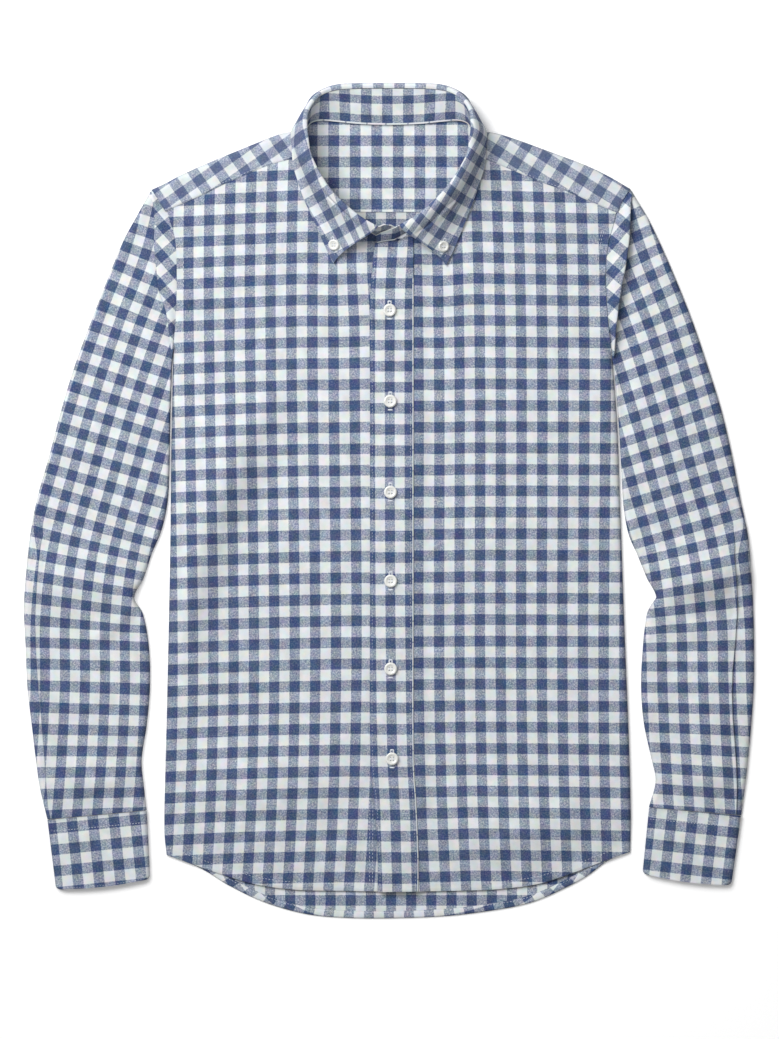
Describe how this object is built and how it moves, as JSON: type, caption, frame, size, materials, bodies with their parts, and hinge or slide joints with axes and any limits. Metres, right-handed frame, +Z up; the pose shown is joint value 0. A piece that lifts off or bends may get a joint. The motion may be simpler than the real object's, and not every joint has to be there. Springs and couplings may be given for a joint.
{
  "type": "gingham shirt laid flat",
  "caption": "Long-sleeved button-down gingham shirt with a yoke, placket and curved hem, laid flat on its back, front up.",
  "frame": {"origin": "on the surface that the shirt lies on, in the middle of its outline", "axes": "+Z up from the surface, +Y along the body towards the collar, +X towards the wearer's left"},
  "size_m": [0.699, 0.7985, 0.0305],
  "materials": {
    "gingham": "plain-weave cotton shirting in a blue and white gingham check, matt, slightly heathered",
    "button": "pearly off-white resin, polished"
  },
  "bodies": {
    "root": {"back": "gingham", "yoke": "gingham", "yoke_right": "gingham", "yoke_left": "gingham", "front_right": "gingham", "front_left": "gingham", "placket": "gingham", "sleeve_right": "gingham", "sleeve_left": "gingham", "cuff_right": "gingham", "cuff_left": "gingham", "collar_stand": "gingham", "collar_fall": "gingham", "button_1": "button", "button_2": "button", "button_3": "button", "button_4": "button", "button_5": "button", "button_6": "button", "collar_button_right": "button", "collar_button_left": "button"}
  },
  "joints": []
}
